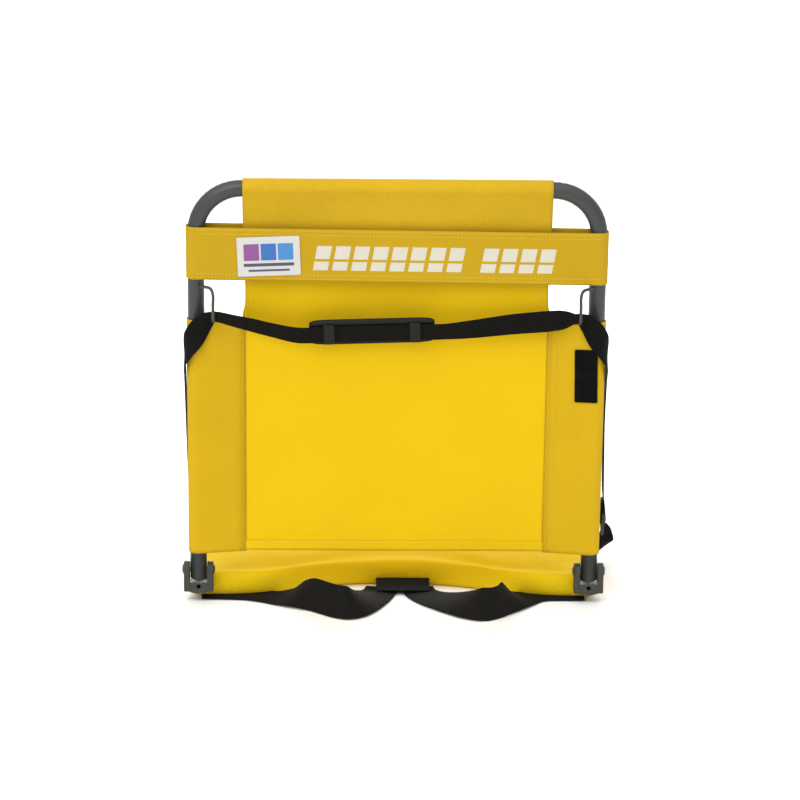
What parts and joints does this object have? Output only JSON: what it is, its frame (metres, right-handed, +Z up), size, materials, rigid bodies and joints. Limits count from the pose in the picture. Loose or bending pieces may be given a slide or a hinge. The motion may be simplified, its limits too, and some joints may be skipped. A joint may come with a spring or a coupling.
{
  "type": "folding stadium seat",
  "caption": "Folding bleacher seat: tube frame back with stretched cloth, padded seat on a U tube, clevis hinges, carrying strap with shoulder pad, and a bench strap.",
  "frame": {"origin": "centre of the seat's flat underside, where it rests on the bench", "axes": "+Z up; the sitter faces -Y; +X is the sitter's left; the folding back hinges about X near the rear edge"},
  "size_m": [0.5079, 0.4917, 0.498],
  "materials": {
    "powder_coat": "satin grey powder coat",
    "yellow_cloth": "plain-weave coated polyester",
    "foam": "open-cell foam",
    "hinge_plastic": "moulded, lightly textured",
    "dark_steel": "dark zinc",
    "black_webbing": "ribbed polypropylene webbing",
    "pad_rubber": "matt moulded rubber",
    "label_cloth": "woven satin ribbon"
  },
  "bodies": {
    "seat": {"seat_frame": "powder_coat", "seat_cover": "yellow_cloth", "seat_foam": "foam", "hinge_bracket_left": "hinge_plastic", "hinge_bracket_right": "hinge_plastic", "pivot_rivet_left": "dark_steel", "pivot_rivet_right": "dark_steel", "bracket_pin_left": "dark_steel", "bracket_pin_right": "dark_steel", "carry_strap_left": "black_webbing", "carry_strap_right": "black_webbing", "ladder_lock": "hinge_plastic", "strap_tab": "black_webbing", "strap_tail": "black_webbing", "strap_anchor_left": "black_webbing", "strap_anchor_right": "black_webbing", "bench_strap_left": "black_webbing", "bench_strap_right": "black_webbing", "bench_strap_keeper": "black_webbing"},
    "back": {"back_frame": "powder_coat", "strap_hook_left": "powder_coat", "strap_hook_right": "powder_coat", "back_sheet": "yellow_cloth", "top_sleeve": "yellow_cloth", "side_sleeve_left": "yellow_cloth", "side_sleeve_right": "yellow_cloth", "rear_band": "yellow_cloth", "woven_label": "label_cloth", "fastening_patch": "black_webbing", "carry_strap_back": "black_webbing"},
    "pad": {"shoulder_pad": "pad_rubber", "pad_keeper_left": "pad_rubber", "pad_keeper_right": "pad_rubber"}
  },
  "joints": [
    {"name": "back_fold", "type": "hinge", "parent": "seat", "child": "back", "pos_m": [0, 0.21125, 0.037], "axis": [1, 0, 0], "range_deg": [0, 91], "deforming": ["carry_strap_left", "carry_strap_right"]},
    {"name": "pad_slide", "type": "slide", "parent": "back", "child": "pad", "axis": [0.9995, -0.0023, -0.0331], "range_m": [-0.015, 0.015]}
  ]
}
